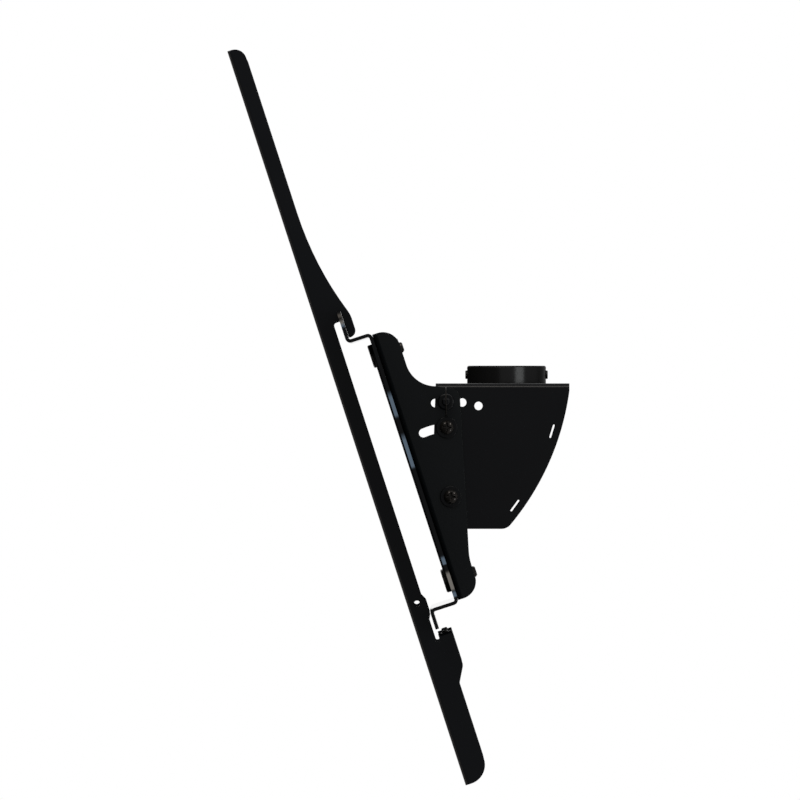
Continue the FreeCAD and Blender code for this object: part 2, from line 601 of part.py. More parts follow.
def interface_plate():
    """Folded plate on the head's web: the arms hang on its upper flange and lean on its lower one."""
    body = new_body("interface_plate")
    side = new_sketch(body, "side", "YZ_Plane")
    top, foot = PLATE_TOP, PLATE_FOOT
    upper_face, lower_face = f"({UPPER_BACK} + sheet_thick)", f"({LOWER_BACK} + sheet_thick)"
    outline(side, [
        ("-head_front", f"{top} + sheet_thick"), (f"-{UPPER_BACK}", f"{top} + sheet_thick"),
        (f"-{UPPER_BACK}", UPPER_END), (f"-{upper_face}", UPPER_END), (f"-{upper_face}", top),
        (f"-{PLATE_FRONT}", top), (f"-{PLATE_FRONT}", f"-{foot}"), (f"-{lower_face}", f"-{foot}"),
        (f"-{lower_face}", f"-{LOWER_END}"), (f"-{LOWER_BACK}", f"-{LOWER_END}"),
        (f"-{LOWER_BACK}", f"-{foot} - sheet_thick"), ("-head_front", f"-{foot} - sheet_thick"),
    ])
    pad(body, "sheet", side, "plate_wide")
    fillet(body, "folds_outside", 0, [
        ("-head_front", f"{top} + sheet_thick"), (f"-{upper_face}", top),
        ("-head_front", f"-{foot} - sheet_thick"), (f"-{lower_face}", f"-{foot}"),
    ], FOLD)
    fillet(body, "folds_inside", 0, [
        (f"-{UPPER_BACK}", f"{top} + sheet_thick"), (f"-{PLATE_FRONT}", top),
        (f"-{PLATE_FRONT}", f"-{foot}"), (f"-{LOWER_BACK}", f"-{foot} - sheet_thick"),
    ], "bend_inside")
    slots = new_sketch(body, "slots", "XZ_Plane")
    for across, up in BOLT_SPOTS:
        obround(slots, across, up, "bolt_slot", "bolt_hole", "90")
    cut(body, "bolt_slots", slots, f"2 * {PLATE_FRONT} + sheet_thick")
    lean(body)
    return body


def bolt_group(label, back, make):
    """Four like pieces, one at each plate bolt, kept together as one group."""
    pieces = []
    for across, up in BOLT_SPOTS:
        piece = make(f"{label}_{len(pieces) + 1}")
        along, height = leaned(back, up)
        place(piece, across, along, height, (1, 0, 0), "tilt_rest")
        pieces.append(piece)
    return keep_together(label, pieces)


def keep_together(label, pieces):
    group = doc.addObject("Part::Compound", label)
    group.Label = label
    group.Links = pieces
    doc.recompute()
    return group


def plate_bolt(label):
    """Flat-headed bolt along Y: the head's underside at zero, the shank towards +Y, a hexagon socket."""
    body = new_body(label)
    section = new_sketch(body, "section", "YZ_Plane")
    bevel = "bolt_size / 10"
    outline(section, [
        ("-bolt_head_high", "0"), ("bolt_length", "0"), ("bolt_length", f"bolt_size / 2 - {bevel}"),
        (f"bolt_length - {bevel}", "bolt_size / 2"), ("0", "bolt_size / 2"), ("0", "bolt_head / 2"),
        ("bolt_edge - bolt_head_high", "bolt_head / 2"), ("-bolt_head_high", "bolt_head / 2 - bolt_edge"),
    ])
    revolve(body, "bolt", section)
    socket = new_sketch(body, "socket", "XZ_Plane")
    hexagon(socket, "bolt_key")
    socket.setExpression(".AttachmentOffset.Base.z", bound("bolt_head_high"))
    cut(body, "key", socket, "2 * bolt_key_deep")
    return body


def bolt_strips():
    """Flat bar under each pair of bolt heads, which bridges the plate's slots."""
    bars = []
    for across in BOLT_SIDES:
        body = new_body(f"bolt_strip_{len(bars) + 1}")
        face = new_sketch(body, "face", "XZ_Plane")
        middle = "(head_top - bolt_drop - bolt_pitch / 2)"
        obround(face, "0", middle, "bolt_pitch + 2 * strip_past", "strip_wide", "0")
        for up in BOLT_HEIGHTS:
            circle(face, "0", up, "bolt_hole")
        pad(body, "bar", face, f"{PLATE_FRONT} + strip_thick", f"-{PLATE_FRONT}")
        lean(body, across)
        bars.append(body)
    return keep_together("bolt_strips", bars)


def plate_washer(label):
    return washer(label, "XZ_Plane", "bolt_washer", "bolt_size", "bolt_washer_thick")


def plate_nut(label):
    return nut(label, "XZ_Plane", "bolt_nut", "bolt_size", "bolt_nut_thick")


def plate_lock_nut(label):
    return nut(label, "XZ_Plane", "bolt_nut", "bolt_size", "lock_nut_thick")


def plate_fasteners():
    """Bolts through the plate's slots and the web, with washers, nuts and lock nuts inside the head."""
    return [
        bolt_strips(),
        bolt_group("plate_bolts", f"-{PLATE_FRONT} - strip_thick", plate_bolt),
        bolt_group("plate_washers", f"-{WEB_REAR}", plate_washer),
        bolt_group("plate_nuts", f"bolt_washer_thick - {WEB_REAR}", plate_nut),
        bolt_group("plate_lock_nuts", f"bolt_washer_thick + bolt_nut_thick - {WEB_REAR}", plate_lock_nut),
    ]


def index_pin():
    """Turned pin along X, drawn back clear of the base's cheek: shank, shoulder and cross-drilled tail."""
    body = new_body("index_pin")
    reach = "(pin_grip + 2 * sheet_thick + cheek_play)"
    bevel = "pin_size / 6"
    section = new_sketch(body, "section", "XY_Plane")
    tail = "(pin_shoulder_thick + pin_tail)"
    rim = "pin_shoulder_thick / 4"
    outline(section, [
        (f"-{reach}", "0"), (tail, "0"), (tail, f"pin_size / 2 - {bevel}"),
        (f"{tail} - {bevel}", "pin_size / 2"),
        ("pin_shoulder_thick", "pin_size / 2"), ("pin_shoulder_thick", f"pin_shoulder / 2 - {rim}"),
        (f"pin_shoulder_thick - {rim}", "pin_shoulder / 2"), ("0", "pin_shoulder / 2"), ("0", "pin_size / 2"),
        (f"{bevel} - {reach}", "pin_size / 2"), (f"-{reach}", f"pin_size / 2 - {bevel}"),
    ])
    revolve(body, "pin", section)
    hole = new_sketch(body, "hole", "XY_Plane")
    circle(hole, "pin_shoulder_thick + pin_tail / 2", "0", "ring_hole")
    cut(body, "ring_way", hole, "2 * pin_shoulder")
    place(body, *pin_place())
    return body


def pin_place():
    """Where the pin's shoulder stands at rest: level with the first index hole and drawn back."""
    back, up = about_pivot("index_radius", "index_first")
    across = f"{HEAD_OUTER} + pin_grip + sheet_thick + pin_draw"
    return across, f"-pivot_ahead + {back}", f"-pivot_drop + {up}"


def index_ring():
    """Wire ring through the pin's tail, standing straight out."""
    ring = doc.addObject("Part::Torus", "index_ring")
    ring.Label = "index_ring"
    radius = "(ring_wide - ring_wire) / 2"
    ring.setExpression("Radius1", bound(radius))
    ring.setExpression("Radius2", bound("ring_wire / 2"))
    across, along, up = pin_place()
    bow = f"({radius} - sqrt(({radius})^2 - (pin_size / 2)^2)) / 2"
    out = f"{across} + pin_shoulder_thick + pin_tail / 2 + {radius} - {bow}"
    place(ring, out, along, up, (1, 0, 0), "90")
    doc.recompute()
    return ring


def screen_arm(label, sign):
    """Folded channel that hooks over the upper flange and leans on the lower, with slots in its face."""
    body = new_body(label)
    side = new_sketch(body, "side", "YZ_Plane")
    neck = "(arm_neck - arm_front)"
    tail = "(tail_deep - arm_front)"
    slot_rear = f"(rail_play - {UPPER_BACK})"
    slot_front = f"({slot_rear} - hook_slot)"
    flange_front = f"(-{UPPER_BACK} - sheet_thick - rail_play)"
    rest = f"(-{LOWER_BACK} - sheet_thick - rail_play)"
    notch_rear = f"({slot_front} + notch_wide)"
    shoulder = f"({UPPER_END} - slot_drop)"
    hook_top = f"({UPPER_END} + rail_play)"
    hook_back = f"({slot_rear} + hook_thick)"
    hook_foot = f"({PLATE_TOP} + sheet_thick + hook_gap)"
    crest = f"({UPPER_END} - crest_drop)"
    pad_top, pad_foot = f"(rest_above - {PLATE_FOOT})", f"(-{PLATE_FOOT} - rest_below)"
    notch_foot = f"(-{LOWER_END} - notch_room)"
    block_back = f"(block_edge - {LATCH_BACK})"
    block_foot = f"(-{LEDGE} - block_high)"
    outline(side, [
        ("-arm_front", "arm_top"), ("-arm_front", "-arm_foot"), (tail, "-arm_foot"),
        (tail, f"{block_foot} - block_slope"), (block_back, block_foot), (block_back, f"-{LEDGE}"),
        (notch_rear, f"-{LEDGE}"), (notch_rear, notch_foot), (slot_front, notch_foot),
        (slot_front, f"{pad_foot} - rest_ramp"), (rest, pad_foot), (rest, f"{pad_top} - rest_ramp"),
        (slot_front, pad_top), (slot_front, shoulder), (flange_front, shoulder),
        (flange_front, hook_top), (slot_rear, hook_top), (slot_rear, hook_foot), (hook_back, hook_foot),
        (hook_back, crest, "flare_arc", -1), (neck, "flare_start"), (neck, "arm_top"),
    ])
    pad(body, "block", side, "arm_wide")
    fillet(body, "top", 0, [(neck, "arm_top")], "arm_top_round")
    fillet(body, "tail", 0, [(tail, "-arm_foot")], "tail_round")
    fillet(body, "narrowing", 0, [(tail, f"{block_foot} - block_slope"), (block_back, block_foot)],
           "block_round")
    fillet(body, "tip", 0, [(hook_back, hook_foot)], "hook_round")
    fillet(body, "crest", 0, [(hook_back, crest)], "crest_round")
    fillet(body, "slot", 0, [(slot_front, shoulder)], "slot_round")
    fillet(body, "notch", 0, [(notch_rear, notch_foot), (slot_front, notch_foot)], "notch_round")
    edge = "arm_wide / 2"
    fillet(body, "fold", 2, [(edge, "-arm_front"), (f"-{edge}", "-arm_front")], ARM_FOLD)
    inner = new_sketch(body, "inner", "YZ_Plane")
    face = "(arm_sheet - arm_front)"
    outline(inner, [
        (face, "2 * arm_top"), (face, "-2 * arm_foot"),
        ("arm_front", "-2 * arm_foot"), ("arm_front", "2 * arm_top"),
    ])
    cut(body, "hollow", inner, "arm_wide - 2 * arm_sheet")
    wall = f"({edge} - arm_sheet)"
    fillet(body, "fold_inside", 2, [(wall, face), (f"-{wall}", face)], "bend_inside")
    eye = new_sketch(body, "eye", "YZ_Plane")
    circle(eye, "-eye_ahead", "-eye_low", "eye_hole")
    cut(body, "eyes", eye, "2 * arm_wide")
    slots = new_sketch(body, "slots", "XZ_Plane")
    for step in range(VESA_SLOTS):
        obround(slots, "0", f"(vesa_first - {step} * vesa_pitch)", "vesa_slot", "vesa_wide", "0")
    cut(body, "screen_slots", slots, "3 * arm_front")
    tab = new_sketch(body, "tab", "YZ_Plane")
    outline(tab, [
        (notch_rear, f"-{LEDGE}"), (notch_rear, f"-{LEDGE} - arm_sheet"),
        (block_back, f"-{LEDGE} - arm_sheet"), (block_back, f"-{LEDGE}"),
    ])
    outward, inward = f"{edge} - arm_sheet / 2", f"{wall} - rail_play"
    pad(body, "folded_tab", tab, *((outward, inward) if sign > 0 else (inward, outward)))
    fillet(body, "tab_fold", 1, [(edge if sign > 0 else f"-{edge}", f"-{LEDGE}")], "arm_sheet")
    latch = new_sketch(body, "latch", "XY_Plane")
    circle(latch, "0", f"-{LATCH_BACK}", "screw_hole")
    cut(body, "latch_hole", latch, "2 * arm_top")
    lean(body, f"{sign} * arm_spread / 2")
    return body


def arm_latch(side, sign):
    """Locking screw that turns up through the folded tab behind the lower flange, and its weld nut."""
    weld_nut = nut(f"arm_lock_nut_{side}", "YZ_Plane", "nut_across", "screw_size", "latch_nut_thick")
    along, height = leaned(f"-{LATCH_BACK}", f"-{LEDGE} - arm_sheet - latch_nut_thick")
    across = f"{sign} * arm_spread / 2"
    stand_up(weld_nut, across, along, height)
    length = "(latch_proud + arm_sheet + latch_nut_thick + latch_travel)"
    along, height = leaned(f"-{LATCH_BACK}", f"latch_proud - {LEDGE} - {length}")
    screw = pan_screw(f"arm_lock_screw_{side}", length, "latch_head_high")
    stand_up(screw, across, along, height, True)
    return [weld_nut, screw]


def stand_up(piece, across, along, height, head_down=False):
    """Turn a piece that was drawn along X so that X runs up the leaned arm, or down it."""
    tilt = FreeCAD.Rotation(FreeCAD.Vector(1, 0, 0), number("tilt_rest"))
    upright = FreeCAD.Rotation(FreeCAD.Vector(0, 1, 0), 90 if head_down else -90)
    turn = tilt * upright
    place(piece, across, along, height, tuple(turn.Axis), str(math.degrees(turn.Angle)))


pieces = [base_bracket(), pole_collar(), set_screw("collar_set_screw_front", "-90"),
          set_screw("collar_set_screw_rear", "90")]
pieces += side_screws()
pieces += [tilt_head(), interface_plate()]
pieces += plate_fasteners()
pieces += [index_pin(), index_ring()]
for side, sign in (("right", 1), ("left", -1)):
    pieces.append(screen_arm(f"arm_{side}", sign))
    pieces += arm_latch(side, sign)
doc.recompute()

for item in doc.Objects:
    if "Invalid" in item.State or "Error" in item.State:
        raise RuntimeError(f"{item.Label} failed: {item.State}")
for piece in pieces:
    if piece.Shape.isNull() or not piece.Shape.isValid():
        raise RuntimeError(f"{piece.Label} has no valid shape")

os.makedirs("parts", exist_ok=True)
for piece in pieces:
    piece.Shape.exportStep(f"parts/{piece.Label}.step")
    print(piece.Label, len(piece.Shape.Solids), round(piece.Shape.Volume, 1))
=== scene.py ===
import json
import math

import bmesh
import bpy
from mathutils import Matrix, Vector


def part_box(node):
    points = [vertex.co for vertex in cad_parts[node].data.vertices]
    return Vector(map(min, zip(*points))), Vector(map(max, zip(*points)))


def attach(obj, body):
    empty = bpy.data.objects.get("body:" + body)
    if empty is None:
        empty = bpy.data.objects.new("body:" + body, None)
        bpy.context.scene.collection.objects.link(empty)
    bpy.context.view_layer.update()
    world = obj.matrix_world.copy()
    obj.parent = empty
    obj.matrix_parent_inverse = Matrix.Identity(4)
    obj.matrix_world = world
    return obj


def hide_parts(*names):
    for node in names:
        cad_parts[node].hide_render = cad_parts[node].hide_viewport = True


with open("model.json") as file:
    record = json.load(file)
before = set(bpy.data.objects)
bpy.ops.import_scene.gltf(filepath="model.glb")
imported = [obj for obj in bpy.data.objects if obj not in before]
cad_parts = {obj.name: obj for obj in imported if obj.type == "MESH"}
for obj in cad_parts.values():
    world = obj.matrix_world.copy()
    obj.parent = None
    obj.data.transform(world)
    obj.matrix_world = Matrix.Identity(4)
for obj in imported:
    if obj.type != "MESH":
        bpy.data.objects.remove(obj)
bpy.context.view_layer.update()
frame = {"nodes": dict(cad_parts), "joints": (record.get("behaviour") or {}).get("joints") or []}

# Base bracket: one blank of 3 mm steel with its two cheeks folded down from the top plate.
# It is laser-cut, its edges are broken by hand and it is coated with satin black powder.


class Value:
    """A socket that takes part in Python sums: each sum adds a Math node to the socket's tree."""

    def __init__(self, tree, socket=None):
        self.tree = tree
        self.socket = socket

    def add(self, kind, settings, sockets, output=0):
        """Add a node, first its settings and then the numbers or links of its sockets."""
        node = self.tree.nodes.new(kind)
        for name, setting in settings.items():
            if name == "stops":
                ramp = node.color_ramp
                while len(ramp.elements) < len(setting):
                    ramp.elements.new(1)
                for element, (position, colour) in zip(ramp.elements, setting):
                    element.position = position
                    element.color = colour
            else:
                setattr(node, name, setting)
        for name, value in sockets.items():
            if isinstance(value, Value):
                self.tree.links.new(value.socket, node.inputs[name])
            else:
                node.inputs[name].default_value = value
        return Value(self.tree, node.outputs[output])

    def maths(self, operation, first, second=0.0):
        return self.add("ShaderNodeMath", {"operation": operation}, {0: first, 1: second})

    def mix(self, low, high):
        """Colour between two others, by this value."""
        return self.add("ShaderNodeMix", {"data_type": "RGBA"}, {0: self, 6: low, 7: high}, 2)

    def __add__(self, other):
        return self.maths("ADD", self, other)

    def __radd__(self, other):
        return self.maths("ADD", other, self)

    def __sub__(self, other):
        return self.maths("SUBTRACT", self, other)

    def __rsub__(self, other):
        return self.maths("SUBTRACT", other, self)

    def __mul__(self, other):
        return self.maths("MULTIPLY", self, other)

    def __rmul__(self, other):
        return self.maths("MULTIPLY", other, self)


def new_finish(name, fixed):
    """A material whose fixed numbers sit on its shader, with the coordinates that its patterns read."""
    material = bpy.data.materials.new(name)
    material.use_nodes = True
    shader = material.node_tree.nodes["Principled BSDF"]
    for socket, number in fixed.items():
        shader.inputs[socket].default_value = number
    place = Value(material.node_tree).add("ShaderNodeTexCoord", {}, {}, "Object")
    return material, shader, place


def feed(shader, **values):
    """Link values to a shader's sockets, written with _ for each space."""
    for name, value in values.items():
        socket = shader.inputs[name.replace("_", " ")]
        value.tree.links.new(value.socket, socket)


def grain(place, size, detail=2.0):
    """Cloudy pattern from 0 to 1 whose patches are about so many metres across."""
    return place.add("ShaderNodeTexNoise", {}, {"Vector": place, "Scale": 1 / size, "Detail": detail})


DRIFT_SIZE, PEEL_SIZE = 0.06, 0.0009
COAT_PALER = 1.2
COAT_ROUGH, COAT_UNEVEN = 0.2, 0.1


def powder_coat(name, colour):
    """Satin powder coat: a fine peel in its surface and a slow drift of tone and gloss."""
    material, shader, place = new_finish(name, {"Specular IOR Level": 0.055})
    drift = grain(place, DRIFT_SIZE)
    peel = grain(place, PEEL_SIZE)
    paler = tuple(COAT_PALER * c for c in colour)
    feed(shader, Base_Color=drift.mix((*colour, 1), (*paler, 1)))
    feed(shader, Roughness=COAT_ROUGH + COAT_UNEVEN * drift)
    bump = place.add("ShaderNodeBump", {}, {"Strength": 0.05, "Distance": 0.0001, "Height": peel})
    feed(shader, Normal=bump)
    return material


def plain_mesh(piece):
    """Turn what a piece's modifiers make into its own mesh."""
    ready = piece.evaluated_get(bpy.context.evaluated_depsgraph_get())
    mesh = bpy.data.meshes.new_from_object(ready)
    piece.modifiers.clear()
    piece.data = mesh


def new_piece(name, mesh):
    piece = bpy.data.objects.new(name, mesh)
    bpy.context.scene.collection.objects.link(piece)
    return piece


def mesh_of(name, form):
    """The mesh of a form that is ready, which is used up."""
    mesh = bpy.data.meshes.new(name)
    form.to_mesh(mesh)
    form.free()
    return mesh


SLIVER = 1e-6
FLAT, SHARP, CREASE = math.radians(0.5), math.radians(32), math.radians(50)


def broken_edges(name, node, width, where=lambda place: True):
    """The solid of a CAD node with its sharp edges broken where wanted, so that they catch light."""
    form = bmesh.new()
    form.from_mesh(frame["nodes"][node].data)
    bmesh.ops.remove_doubles(form, verts=form.verts, dist=SLIVER)
    bmesh.ops.dissolve_limit(form, angle_limit=FLAT, verts=form.verts, edges=form.edges)
    sharp = [e for e in form.edges if e.is_manifold and e.calc_face_angle() > SHARP
             and where((e.verts[0].co + e.verts[1].co) / 2)]
    bmesh.ops.bevel(form, geom=sharp, offset=width, segments=2, profile=0.5, affect="EDGES",
                    clamp_overlap=False)
    mesh = mesh_of(name, form)
    mesh.shade_smooth()
    mesh.set_sharp_from_angle(angle=CREASE)
    piece = new_piece(name, mesh)
    piece.modifiers.new("even_shading", "WEIGHTED_NORMAL").keep_sharp = True
    plain_mesh(piece)
    return piece


def fit(piece, material, body, slot, *nodes):
    """Give a piece its finish and its body, and let it stand for the CAD nodes that it is made from."""
    piece.data.materials.clear()
    piece.data.materials.append(material)
    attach(piece, body)
    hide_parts(*nodes)


SHEET_EDGE = 0.00015
satin_black = powder_coat("satin_black_powder", (0.0010, 0.0011, 0.0014))
bracket = broken_edges("bracket_sheet", "base_bracket", SHEET_EDGE)
fit(bracket, satin_black, "base", "black_coat", "base_bracket")

# Pole collar: a ring turned from thick tube and welded to the top plate from below.
# It is blackened and burnished over the fine rings that the tool left.
burnished, shader, place = new_finish("burnished_black_steel", {
    "Metallic": 0.65, "Specular IOR Level": 0.05, "Specular Tint": (0.1, 0.1, 0.1, 1)})
TOOL_STEP, MOTTLE_SIZE = 0.0007, 0.02
BLACKED, RUBBED = (0.0080, 0.0080, 0.0082, 1), (0.0100, 0.0100, 0.0102, 1)
COLLAR_ROUGH, COLLAR_UNEVEN = 0.17, 0.06
COLLAR_EDGE = 0.0003
height = place.add("ShaderNodeSeparateXYZ", {}, {"Vector": place}, "Z")
rings = place.maths("SINE", height * (2 * math.pi / TOOL_STEP))
mottle = grain(place, MOTTLE_SIZE)
feed(shader, Base_Color=mottle.mix(BLACKED, RUBBED))
feed(shader, Roughness=COLLAR_ROUGH + COLLAR_UNEVEN * mottle)
bump = place.add("ShaderNodeBump", {}, {"Strength": 0.05, "Distance": 0.00005, "Height": rings})
feed(shader, Normal=bump)
collar = broken_edges("collar_ring", "pole_collar", COLLAR_EDGE)
fit(collar, burnished, "base", "gloss_black", "pole_collar")

# Set screws of the collar: two black M8 grub screws with hexagon sockets, at the front and the rear.
# Each is turned in until its tip is almost level with the bore.
CLOUD_SIZE, SPECK_SIZE = 0.004, 0.0006
ZINC_WORN, ZINC_UNEVEN = 2.2, 0.1


def black_zinc(name, colour, rough):
    """Zinc plate passivated black: dark metal, cloudy and a little worn to grey."""
    material, shader, place = new_finish(name, {"Metallic": 0.6, "Specular IOR Level": 0.05})
    cloud = grain(place, CLOUD_SIZE)
    speck = grain(place, SPECK_SIZE)
    worn = tuple(ZINC_WORN * c for c in colour)
    feed(shader, Base_Color=(cloud * speck).mix((*colour, 1), (*worn, 1)))
    feed(shader, Roughness=rough + ZINC_UNEVEN * cloud)
    return material


def turned(name, outline, steps=40):
    """A turned form about Z from (radius, height) points."""
    form = bmesh.new()
    points = [form.verts.new((radius, 0, height)) for radius, height in outline]
    rim = [form.edges.new(pair) for pair in zip(points, points[1:])]
    bmesh.ops.spin(form, geom=points + rim, axis=(0, 0, 1), cent=(0, 0, 0), steps=steps, angle=2 * math.pi)
    bmesh.ops.remove_doubles(form, verts=form.verts, dist=SLIVER)
    bmesh.ops.recalc_face_normals(form, faces=form.faces)
    return new_piece(name, mesh_of(name, form))


def prism(name, corners, low, high):
    """An upright prism on corners in the XY plane."""
    form = bmesh.new()
    foot = form.faces.new([form.verts.new((x, y, low)) for x, y in corners])
    raised = bmesh.ops.extrude_face_region(form, geom=[foot])["geom"]
    top = [item for item in raised if isinstance(item, bmesh.types.BMVert)]
    bmesh.ops.translate(form, verts=top, vec=(0, 0, high - low))
    bmesh.ops.recalc_face_normals(form, faces=form.faces)
    return new_piece(name, mesh_of(name, form))


def hexagon(across):
    reach = across / 2 / math.cos(math.pi / 6)
    return [(reach * math.cos(k * math.pi / 3), reach * math.sin(k * math.pi / 3)) for k in range(6)]


def worked(form, tool, operation):
    """Cut a form with a tool, or keep what the two share, and take the tool and any slivers away."""
    step = form.modifiers.new(operation, "BOOLEAN")
    step.operation = operation
    step.object = tool
    plain_mesh(form)
    bpy.data.objects.remove(tool)
    clean = bmesh.new()
    clean.from_mesh(form.data)
    bmesh.ops.triangulate(clean, faces=clean.faces)
    bmesh.ops.dissolve_degenerate(clean, edges=clean.edges, dist=SLIVER)
    clean.to_mesh(form.data)
    clean.free()
    return form


def screw_tree():
    """Geometry nodes that set a screw's form on points, each with its thread wound round it."""
    tree = bpy.data.node_groups.new("set_out_screws", "GeometryNodeTree")
    tree.interface.new_socket("Geometry", in_out="INPUT", socket_type="NodeSocketGeometry")
    for name, kind in (("Form", "Object"), ("Root", "Float"), ("Ridge", "Float"), ("Pitch", "Float"),
                       ("Thread Start", "Float"), ("Thread Length", "Float"), ("Finish", "Material")):
        tree.interface.new_socket(name, in_out="INPUT", socket_type="NodeSocket" + kind)
    tree.interface.new_socket("Geometry", in_out="OUTPUT", socket_type="NodeSocketGeometry")
    given = tree.nodes.new("NodeGroupInput")
    size = {socket.name: Value(tree, socket) for socket in given.outputs}
    maker = Value(tree)
    winding = maker.add("GeometryNodeCurveSpiral", {}, {
        "Resolution": 20, "Rotations": maker.maths("DIVIDE", size["Thread Length"], size["Pitch"]),
        "Start Radius": size["Root"], "End Radius": size["Root"], "Height": size["Thread Length"]})
    tooth = maker.add("GeometryNodeCurvePrimitiveCircle", {}, {"Resolution": 3, "Radius": size["Ridge"]})
    thread = maker.add("GeometryNodeCurveToMesh", {}, {
        "Curve": winding, "Profile Curve": tooth, "Fill Caps": True})
    drop = maker.add("ShaderNodeCombineXYZ", {}, {"Z": 0 - (size["Thread Start"] + size["Thread Length"])})
    thread = maker.add("GeometryNodeTransform", {}, {"Geometry": thread, "Translation": drop})
    form = maker.add("GeometryNodeObjectInfo", {}, {"Object": size["Form"]}, "Geometry")
    join = tree.nodes.new("GeometryNodeJoinGeometry")
    for part in (form, thread):
        tree.links.new(part.socket, join.inputs[0])
    turn = maker.add("GeometryNodeInputNamedAttribute", {"data_type": "FLOAT_VECTOR"}, {"Name": "turn"})
    turn = maker.add("FunctionNodeEulerToRotation", {}, {"Euler": turn})
    set_screws = maker.add("GeometryNodeInstanceOnPoints", {}, {
        "Points": size["Geometry"], "Instance": Value(tree, join.outputs[0]), "Rotation": turn})
    set_screws = maker.add("GeometryNodeRealizeInstances", {}, {"Geometry": set_screws})
    set_screws = maker.add("GeometryNodeSetMaterial", {}, {
        "Geometry": set_screws, "Material": size["Finish"]})
    tree.links.new(set_screws.socket, tree.nodes.new("NodeGroupOutput").inputs[0])
    return tree


set_out = screw_tree()


def screws(name, spots, sizes):
    """Screws at (place, direction of the head) spots, as one piece. The form is used up."""
    mesh = bpy.data.meshes.new(name)
    mesh.from_pydata([place for place, facing in spots], [], [])
    turns = mesh.attributes.new("turn", "FLOAT_VECTOR", "POINT")
    for item, (place, facing) in zip(turns.data, spots):
        item.vector = Vector(facing).to_track_quat("Z", "Y").to_euler()
    piece = new_piece(name, mesh)
    setting = piece.modifiers.new("set_out", "NODES")
    setting.node_group = set_out
    for socket in set_out.interface.items_tree:
        if socket.in_out == "INPUT" and socket.name in sizes:
            setting[socket.identifier] = sizes[socket.name]
    plain_mesh(piece)
    bpy.data.objects.remove(sizes["Form"])
    piece.data.shade_smooth()
    piece.data.set_sharp_from_angle(angle=SHARP)
    return piece


grub_black = black_zinc("grub_black_zinc", (0.006, 0.006, 0.006), 0.3)
GRUB_ROOT, GRUB_LENGTH, GRUB_RIM, GRUB_TIP = 0.0035, 0.00965, 0.0003, 0.0008
GRUB_KEY, GRUB_KEY_DEEP = 0.004, 0.004
GRUB_RIDGE, GRUB_PITCH, GRUB_LEAD = 0.00045, 0.00125, 0.0006
THREAD_INSET = 0.001
TOOL_PAST = 0.001
grub = turned("grub_form", [
    (0, 0), (GRUB_ROOT - GRUB_RIM, 0), (GRUB_ROOT, -GRUB_RIM), (GRUB_ROOT, GRUB_TIP - GRUB_LENGTH),
    (GRUB_ROOT - GRUB_TIP, -GRUB_LENGTH), (0, -GRUB_LENGTH)])
worked(grub, prism("grub_key", hexagon(GRUB_KEY), -GRUB_KEY_DEEP, TOOL_PAST), "DIFFERENCE")
spots = []
for node, facing in (("collar_set_screw_front", -1), ("collar_set_screw_rear", 1)):
    low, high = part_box(node)
    middle = (low + high) / 2
    spots.append(((middle.x, high.y if facing > 0 else low.y, middle.z), (0, facing, 0)))
grubs = screws("collar_grub_screws", spots, {
    "Form": grub, "Root": GRUB_ROOT, "Ridge": GRUB_RIDGE, "Pitch": GRUB_PITCH, "Thread Start": GRUB_LEAD,
    "Thread Length": GRUB_LENGTH - GRUB_LEAD - THREAD_INSET, "Finish": grub_black})
fit(grubs, grub_black, "base", "black_zinc", "collar_set_screw_front", "collar_set_screw_rear")

# Pivot and lock screws: M6 pan heads with cross recesses, two on each cheek, all in black zinc.
# Each clamps the cheeks between a large coated washer outside and a hexagon nut inside.
fastener_black = black_zinc("fastener_black_zinc", (0.0070, 0.0064, 0.0060), 0.05)
PAN_WIDE, PAN_HIGH, PAN_RIM, PAN_FOOT = 0.012, 0.0046, 0.00115, 0.0002
PAN_ROOT, PAN_LENGTH, PAN_TIP = 0.0026, 0.016, 0.0006
M6_RIDGE, M6_PITCH = 0.00035, 0.001
DOME_STEPS = 10
CROSS_ARM, CROSS_HALF, CROSS_DEEP, CROSS_PAST, CROSS_TAPER = 0.0050, 0.0011, 0.0026, 0.0004, 0.55
BRINK, BRINK_ANGLE = 0.00018, math.radians(35)


def pan_form(name, high, rim, length):
    """Pan head with a domed top and a tapered cross recess, on its bare shank."""
    dome = [(PAN_WIDE / 2 * math.cos(a), rim + (high - rim) * math.sin(a))
            for a in (k * math.pi / 2 / DOME_STEPS for k in range(DOME_STEPS))]
    form = turned(name, [
        (0, high), *reversed(dome), (PAN_WIDE / 2, PAN_FOOT), (PAN_WIDE / 2 - PAN_FOOT, 0), (PAN_ROOT, 0),
        (PAN_ROOT, PAN_TIP - length), (PAN_ROOT - PAN_TIP, -length), (0, -length)])
    cross = []
    for x, y in ((1, 0), (0, 1), (-1, 0), (0, -1)):
        along, aside = Vector((x, y)), Vector((-y, x)) * CROSS_HALF
        cross += [along * CROSS_ARM - aside, along * CROSS_ARM + aside, along * CROSS_HALF + aside]
    tool = prism(name + "_tool", cross, high - CROSS_DEEP, high + CROSS_PAST)
    for point in tool.data.vertices:
        if point.co.z < high:
            point.co.x *= CROSS_TAPER
            point.co.y *= CROSS_TAPER
    worked(form, tool, "DIFFERENCE")
    brink = form.modifiers.new("brink", "BEVEL")
    brink.width = BRINK
    brink.segments = 2
    brink.use_clamp_overlap = False
    brink.angle_limit = BRINK_ANGLE
    plain_mesh(form)
    return form


